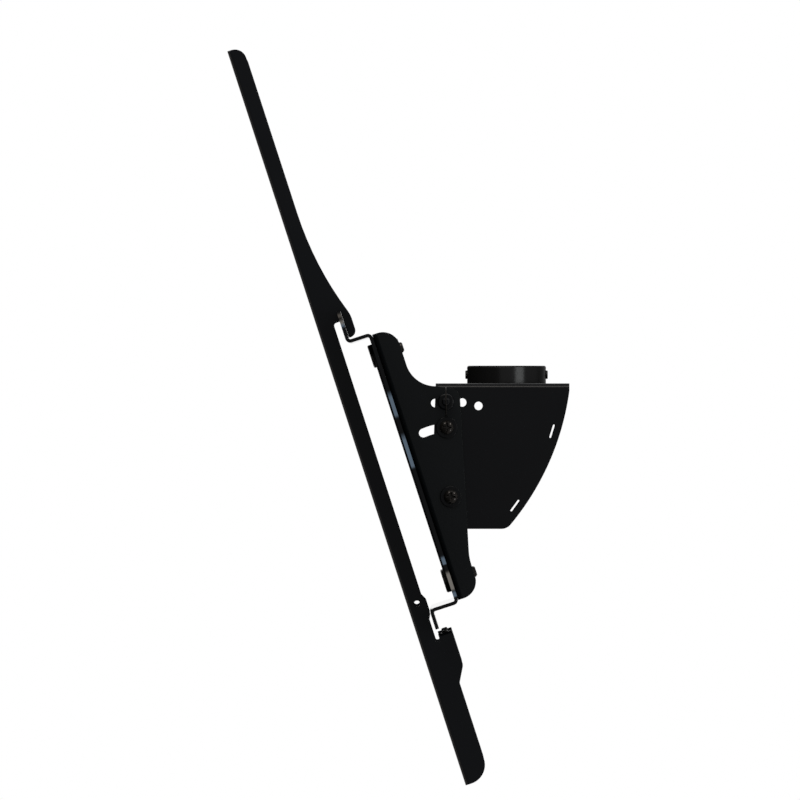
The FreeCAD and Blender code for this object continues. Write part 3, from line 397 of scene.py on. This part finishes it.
ROLES = [f"{role}_{{}}_{side}" for role in ("pivot", "lock") for side in ("right", "left")]
spots = []
for role in ROLES:
    low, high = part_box(role.format("screw"))
    middle = (low + high) / 2
    out = math.copysign(1, middle.x)
    seat = high.x - PAN_HIGH if out > 0 else low.x + PAN_HIGH
    spots.append(((seat, middle.y, middle.z), (out, 0, 0)))
cheek_screws = screws("cheek_screws", spots, {
    "Form": pan_form("pan_form", PAN_HIGH, PAN_RIM, PAN_LENGTH), "Root": PAN_ROOT, "Ridge": M6_RIDGE,
    "Pitch": M6_PITCH, "Thread Start": THREAD_INSET, "Thread Length": PAN_LENGTH - 2 * THREAD_INSET,
    "Finish": fastener_black})
fit(cheek_screws, fastener_black, "base", "black_zinc", *(role.format("screw") for role in ROLES))

TURNED_SLOPE, TURNED_PAST, TURNED_SHARE, TURNED_REACH = math.tan(math.pi / 6), 0.0003, 0.97, 0.6


def nut_form(name, across, bore, thick):
    """Hexagon nut from zero upwards, its corners turned off to 30 degrees at both faces."""
    nut = prism(name, hexagon(across), 0, thick)
    ends, side = across / 2 * TURNED_SHARE - TURNED_PAST / TURNED_SLOPE, across * TURNED_REACH
    rise = (side - ends) * TURNED_SLOPE - TURNED_PAST
    turning = turned(name + "_turning", [
        (0, -TURNED_PAST), (ends, -TURNED_PAST), (side, rise), (side, thick - rise),
        (ends, thick + TURNED_PAST), (0, thick + TURNED_PAST)])
    worked(nut, turning, "INTERSECT")
    drill = turned(name + "_bore", [
        (0, -TOOL_PAST), (bore, -TOOL_PAST), (bore, thick + TOOL_PAST), (0, thick + TOOL_PAST)])
    worked(nut, drill, "DIFFERENCE")
    return nut


NUT_ACROSS, NUT_THICK = 0.010, 0.005
M6_BORE, M6_GROOVE, NUT_RIDGE = 0.00315, 0.0031, 0.0001
spots = []
for role in ROLES:
    low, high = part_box(role.format("nut"))
    middle = (low + high) / 2
    out = math.copysign(1, middle.x)
    spots.append(((low.x if out > 0 else high.x, middle.y, middle.z), (out, 0, 0)))
cheek_nuts = screws("cheek_nuts", spots, {
    "Form": nut_form("nut_form", NUT_ACROSS, M6_BORE, NUT_THICK), "Root": M6_GROOVE, "Ridge": NUT_RIDGE,
    "Pitch": M6_PITCH, "Thread Start": THREAD_INSET - NUT_THICK,
    "Thread Length": NUT_THICK - 2 * THREAD_INSET, "Finish": fastener_black})
fit(cheek_nuts, fastener_black, "base", "black_zinc", *(role.format("nut") for role in ROLES))
WASHER_EDGE = 0.0006
for role in ROLES:
    washer = role.format("washer")
    disc = broken_edges(washer + "_disc", washer, WASHER_EDGE)
    fit(disc, satin_black, "base", "black_coat", washer)

# Tilt head: a second folded sheet of 3 mm steel that straddles the base, with an arc slot for the
# lock screw and index holes. It has a satin powder coat like the base's, painted paler to make up for the
# shade that the arm casts on it.
head_coat_painted_paler = powder_coat("head_powder_painted_paler", (0.0015, 0.0018, 0.0021))
head = broken_edges("head_sheet", "tilt_head", SHEET_EDGE)
fit(head, head_coat_painted_paler, "tilt", "black_coat", "tilt_head")

# Interface plate: a long sheet folded into a hanging flange above and a steadying flange below.
# It is coated gloss black; its sawn ends are ground bright, with painted blue, straw and dull glints banded
# along them.
tilt = next(joint for joint in frame["joints"] if joint["name"] == "tilt")
pivot = Vector(tilt["pos_m"])
LEAN = math.radians(18)
PLATE_END, PLATE_LOW, PLATE_SPAN = 0.29965, -0.1017, 0.28
GLOSS_ROUGH, GLOSS_UNEVEN, BARE_ROUGH = 0.02, 0.03, 0.2
GLOSS, GLOSS_PALER = (0.0021, 0.0026, 0.0031, 1), (0.0025, 0.0031, 0.0037, 1)
# Dark bare steel of the plate's ends, and the colours of the painted glints on them.
DARK, DULL_GLINT = (0.0060, 0.0062, 0.0066, 1), (0.085, 0.076, 0.066, 1)
BLUE_GLINT, STRAW_GLINT = (0.085, 0.115, 0.150, 1), (0.150, 0.140, 0.128, 1)
plate_coat, shader, place = new_finish("plate_coat_with_painted_glint_ends", {"Specular IOR Level": 0.05})
across, along, up = (place.add("ShaderNodeSeparateXYZ", {}, {"Vector": place}, k) for k in range(3))
rise = (up - pivot.z) * math.cos(LEAN) - (along - pivot.y) * math.sin(LEAN)
bare = place.maths("GREATER_THAN", place.maths("ABSOLUTE", across), PLATE_END)
# Painted reflections: bands of blue, straw and dull glints along the bare ends, dark steel between them.
painted_glints = place.add("ShaderNodeValToRGB", {"stops": [
    (0.074, DARK), (0.078, BLUE_GLINT), (0.088, BLUE_GLINT), (0.095, DARK), (0.100, STRAW_GLINT), (0.146, STRAW_GLINT),
    (0.157, DARK), (0.176, DARK), (0.179, BLUE_GLINT), (0.197, BLUE_GLINT), (0.204, DARK), (0.480, DARK),
    (0.488, BLUE_GLINT), (0.570, BLUE_GLINT), (0.592, DARK), (0.640, DARK), (0.650, BLUE_GLINT), (0.704, BLUE_GLINT),
    (0.725, DARK), (0.948, DARK), (0.954, BLUE_GLINT), (0.964, STRAW_GLINT), (0.976, DARK), (0.986, DULL_GLINT),
    (0.994, DARK)]}, {"Fac": (rise - PLATE_LOW) * (1 / PLATE_SPAN)})
drift = grain(place, DRIFT_SIZE)
feed(shader, Base_Color=bare.mix(drift.mix(GLOSS, GLOSS_PALER), painted_glints), Metallic=bare)
feed(shader, Roughness=GLOSS_ROUGH + GLOSS_UNEVEN * drift + BARE_ROUGH * bare)
plate = broken_edges("plate_sheet", "interface_plate", SHEET_EDGE, lambda place: abs(place.x) < PLATE_END)
fit(plate, plate_coat, "tilt", "gloss_black", "interface_plate")

# Bolt strips, bolts, washers and nuts: flat-headed M10 bolts in black zinc through thin coated bars,
# the plate's slots and the web. Washers, nuts and lock nuts draw them tight inside the head.
BAR_EDGE = 0.0002
bars = broken_edges("bolt_bars", "bolt_strips", BAR_EDGE)
fit(bars, satin_black, "tilt", "black_coat", "bolt_strips")
washers = broken_edges("bolt_washers", "plate_washers", BAR_EDGE)
fit(washers, fastener_black, "tilt", "black_zinc", "plate_washers")
BOLT_HEAD, BOLT_HIGH, BOLT_EDGE, BOLT_FOOT = 0.010, 0.0022, 0.0008, 0.0002
BOLT_ROOT, BOLT_LENGTH, BOLT_TIP, BOLT_PLAIN = 0.0043, 0.0268, 0.001, 0.0075
BOLT_KEY, BOLT_KEY_DEEP = 0.006, 0.0035
BOLT_UNDER, BOLT_UPPER, BOLT_APART, BOLT_SIDE = -0.0259, 0.1335, 0.2, 0.05
M10_RIDGE, M10_PITCH, M10_BORE, M10_GROOVE = 0.0006, 0.0015, 0.0052, 0.0051
NUT_SEAT, BOLT_NUT, BOLT_NUT_THICK, LOCK_NUT_THICK = -0.0161, 0.016, 0.008, 0.0065


def leaned(x, back, up):
    """A place of the upright head, in metres from the pivot, where it is with the head leaned."""
    return (x, pivot.y + back * math.cos(LEAN) - up * math.sin(LEAN),
            pivot.z + back * math.sin(LEAN) + up * math.cos(LEAN))


to_screen = (0, -math.cos(LEAN), -math.sin(LEAN))
to_pole = (0, math.cos(LEAN), math.sin(LEAN))
corners = [(side, height) for side in (BOLT_SIDE, -BOLT_SIDE)
           for height in (BOLT_UPPER, BOLT_UPPER - BOLT_APART)]
bolt = turned("bolt_form", [
    (0, BOLT_HIGH), (BOLT_HEAD - BOLT_EDGE, BOLT_HIGH), (BOLT_HEAD, BOLT_HIGH - BOLT_EDGE),
    (BOLT_HEAD, BOLT_FOOT), (BOLT_HEAD - BOLT_FOOT, 0), (BOLT_ROOT, 0), (BOLT_ROOT, BOLT_TIP - BOLT_LENGTH),
    (BOLT_ROOT - BOLT_TIP, -BOLT_LENGTH), (0, -BOLT_LENGTH)])
key = prism("bolt_key", hexagon(BOLT_KEY), BOLT_HIGH - BOLT_KEY_DEEP, BOLT_HIGH + TOOL_PAST)
worked(bolt, key, "DIFFERENCE")
bolts = screws("head_bolts", [(leaned(side, BOLT_UNDER, height), to_screen) for side, height in corners], {
    "Form": bolt, "Root": BOLT_ROOT, "Ridge": M10_RIDGE, "Pitch": M10_PITCH, "Thread Start": BOLT_PLAIN,
    "Thread Length": BOLT_LENGTH - BOLT_PLAIN - M10_PITCH, "Finish": fastener_black})
fit(bolts, fastener_black, "tilt", "black_zinc", "plate_bolts")
for kind, seat, thick in (("nuts", NUT_SEAT, BOLT_NUT_THICK),
                          ("lock_nuts", NUT_SEAT + BOLT_NUT_THICK, LOCK_NUT_THICK)):
    nuts = screws(f"head_{kind}", [(leaned(side, seat, height), to_pole) for side, height in corners], {
        "Form": nut_form(f"{kind}_form", BOLT_NUT, M10_BORE, thick), "Root": M10_GROOVE, "Ridge": NUT_RIDGE,
        "Pitch": M10_PITCH, "Thread Start": THREAD_INSET - thick, "Thread Length": thick - 2 * THREAD_INSET,
        "Finish": fastener_black})
    fit(nuts, fastener_black, "tilt", "black_zinc", f"plate_{kind}")

# Index pin and pull ring: a turned and blackened pin that slides through the cheeks' index holes.
# Its tail holds a split ring, two turns of dark spring wire.
low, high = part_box("index_pin")
axis = (low + high) / 2
PIN_EDGE, RIM_REACH = 0.0007, 0.005
pin = broken_edges("pin_turning", "index_pin", PIN_EDGE,
                   lambda place: math.hypot(place.y - axis.y, place.z - axis.z) > RIM_REACH)
fit(pin, satin_black, "index_pin", "black_zinc", "index_pin")
RING_TURNS = 1.97


def split_ring_tree():
    """Geometry nodes that wind a wire into a split ring."""
    tree = bpy.data.node_groups.new("split_ring", "GeometryNodeTree")
    for name, kind in (("Ring Radius", "Float"), ("Wire Radius", "Float"), ("Finish", "Material")):
        tree.interface.new_socket(name, in_out="INPUT", socket_type="NodeSocket" + kind)
    tree.interface.new_socket("Geometry", in_out="OUTPUT", socket_type="NodeSocketGeometry")
    size = {socket.name: Value(tree, socket) for socket in tree.nodes.new("NodeGroupInput").outputs}
    maker = Value(tree)
    coil = maker.add("GeometryNodeCurveSpiral", {}, {
        "Resolution": 64, "Rotations": RING_TURNS, "Start Radius": size["Ring Radius"],
        "End Radius": size["Ring Radius"], "Height": 2 * size["Wire Radius"]})
    wire = maker.add("GeometryNodeCurvePrimitiveCircle", {}, {
        "Resolution": 12, "Radius": size["Wire Radius"]})
    coiled = maker.add("GeometryNodeCurveToMesh", {}, {
        "Curve": coil, "Profile Curve": wire, "Fill Caps": True})
    coiled = maker.add("GeometryNodeRealizeInstances", {}, {"Geometry": coiled})
    coiled = maker.add("GeometryNodeSetMaterial", {}, {"Geometry": coiled, "Material": size["Finish"]})
    tree.links.new(coiled.socket, tree.nodes.new("NodeGroupOutput").inputs[0])
    return tree


ring_wire = black_zinc("ring_spring_wire", (0.0040, 0.0036, 0.0032), 0.45)
WIRE = 0.00035
low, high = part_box("index_ring")
middle = (low + high) / 2
ring = new_piece("pull_ring", bpy.data.meshes.new("pull_ring"))
winding = ring.modifiers.new("winding", "NODES")
winding.node_group = split_ring_tree()
ring_sizes = {"Ring Radius": (high.x - low.x) / 2 - WIRE, "Wire Radius": WIRE, "Finish": ring_wire}
for socket in winding.node_group.interface.items_tree:
    if socket.in_out == "INPUT":
        winding[socket.identifier] = ring_sizes[socket.name]
plain_mesh(ring)
for point in ring.data.vertices:
    x, y, z = point.co
    point.co = (middle.x + x, middle.y + z - WIRE, middle.z - y)
ring.data.shade_smooth()
fit(ring, ring_wire, "index_ring", "dark_wire", "index_ring")

# Screen arms: two channels of 2.5 mm sheet, hooked over the plate, slotted for the screen's screws.
# A folded tab at the foot of each carries a weld nut and the screw that locks the arm on.
arm_black = powder_coat("arm_black_powder", (0.0009, 0.0011, 0.0015))
LATCH_HIGH, LATCH_RIM, LATCH_LENGTH, LATCH_FREE, LATCH_NUT_THICK = 0.0033, 0.000825, 0.026, 0.018, 0.004
along_arm = Vector((0, -math.sin(LEAN), math.cos(LEAN)))
for side in ("right", "left"):
    arm = f"arm_{side}"
    channel = broken_edges(f"{arm}_channel", arm, SHEET_EDGE)
    fit(channel, arm_black, arm, "black_coat", arm)
    low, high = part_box(f"arm_lock_nut_{side}")
    under = (low + high) / 2 - along_arm * LATCH_NUT_THICK / 2
    nut = screws(f"{arm}_weld_nut", [(under, along_arm)], {
        "Form": nut_form(f"{arm}_nut_form", NUT_ACROSS, M6_BORE, LATCH_NUT_THICK), "Root": M6_GROOVE,
        "Ridge": NUT_RIDGE, "Pitch": M6_PITCH, "Thread Start": THREAD_INSET - LATCH_NUT_THICK,
        "Thread Length": LATCH_NUT_THICK - 2 * THREAD_INSET, "Finish": fastener_black})
    fit(nut, fastener_black, arm, "black_zinc", f"arm_lock_nut_{side}")
    latch = screws(f"{arm}_lock_screw", [(under - along_arm * LATCH_FREE, -along_arm)], {
        "Form": pan_form(f"{arm}_latch_form", LATCH_HIGH, LATCH_RIM, LATCH_LENGTH), "Root": PAN_ROOT,
        "Ridge": M6_RIDGE, "Pitch": M6_PITCH, "Thread Start": THREAD_INSET,
        "Thread Length": LATCH_LENGTH - 2 * THREAD_INSET, "Finish": fastener_black})
    fit(latch, fastener_black, f"arm_latch_{side}", "black_zinc", f"arm_lock_screw_{side}")

# Studio: a pale floor below the hanging mount, soft boxes above and round it, and a white surround.
# The camera looks level along the screen from far off, square to the cheeks.
FLOOR_REACH, FLOOR_LOW = 1.5, -1.0
PAPER_CLOUD, PAPER, PAPER_PALER = 0.3, (0.80, 0.80, 0.80, 1), (0.83, 0.83, 0.83, 1)
floor_mesh = bpy.data.meshes.new("studio_floor")
floor_corners = [(FLOOR_REACH * x, FLOOR_REACH * y, FLOOR_LOW)
                 for x, y in ((-1, -1), (1, -1), (1, 1), (-1, 1))]
floor_mesh.from_pydata(floor_corners, [], [(0, 1, 2, 3)])
floor = new_piece("studio_floor", floor_mesh)
paper, shader, place = new_finish("studio_paper", {"Roughness": 0.9, "Specular IOR Level": 0.1})
feed(shader, Base_Color=grain(place, PAPER_CLOUD).mix(PAPER, PAPER_PALER))
floor.data.materials.append(paper)
AIM = (0, -0.09, -0.014)


def lamp(name, place, size, radiance, colour):
    """A rectangular soft box turned to the mount; its power follows from how bright its face is."""
    light = bpy.data.lights.new(name, "AREA")
    light.shape = "RECTANGLE"
    light.size, light.size_y = size
    light.energy = math.pi * size[0] * size[1] * radiance
    light.color = colour
    holder = bpy.data.objects.new(name, light)
    holder.location = place
    holder.rotation_euler = (Vector(AIM) - Vector(place)).to_track_quat("-Z", "Y").to_euler()
    bpy.context.scene.collection.objects.link(holder)


lamp("key_box", (1.67, -0.4, 2.0), (1.8, 1.0), 13.0, (1, 0.95, 0.89))
lamp("front_high_box", (0.9, -1.8, 1.5), (0.6, 0.6), 8.0, (1, 0.94, 0.86))
lamp("front_low_box", (0.5, -2.4, -0.75), (0.6, 1.0), 4.0, (1, 0.86, 0.72))
lamp("rear_high_box", (1.3, 1.5, 1.6), (0.8, 0.4), 30.0, (1, 0.97, 0.93))
lamp("rear_low_box", (1.0, 1.1, -0.85), (0.35, 0.35), 18.0, (0.94, 0.98, 1))
lamp("rear_box", (2.05, 1.6, 0.05), (1.15, 0.6), 12.0, (0.97, 1, 0.98))

world = bpy.data.worlds.new("white_surround")
world.use_nodes = True
world.node_tree.nodes.clear()
sky = Value(world.node_tree)
ray = world.node_tree.nodes.new("ShaderNodeLightPath")
by_eye, mirrored, through = (Value(world.node_tree, ray.outputs[f"Is {kind} Ray"])
                             for kind in ("Camera", "Glossy", "Transmission"))
shown = sky.maths("MAXIMUM", sky.maths("MAXIMUM", by_eye, mirrored), through)
fill = sky.add("ShaderNodeBackground", {}, {"Color": (1, 1, 1, 1), "Strength": 0.4})
white = sky.add("ShaderNodeBackground", {}, {"Color": (1, 1, 1, 1), "Strength": 1.0})
surround = sky.add("ShaderNodeMixShader", {}, {0: shown, 1: fill, 2: white})
outlet = world.node_tree.nodes.new("ShaderNodeOutputWorld")
world.node_tree.links.new(surround.socket, outlet.inputs["Surface"])
bpy.context.scene.world = world

camera = bpy.data.cameras.new("side_camera")
camera.lens = 1700
camera.sensor_width = 36
camera.clip_end = 100
FRAME_WIDTH, SHARP_PLANE, FRAME_MIDDLE = 0.676, 0.14, (-0.0904, -0.0141)
viewer = bpy.data.objects.new("side_camera", camera)
viewer.location = (SHARP_PLANE + camera.lens / camera.sensor_width * FRAME_WIDTH, *FRAME_MIDDLE)
viewer.rotation_euler = (math.pi / 2, 0, math.pi / 2)
bpy.context.scene.collection.objects.link(viewer)
bpy.context.scene.camera = viewer
bpy.context.scene.view_settings.view_transform = "Standard"
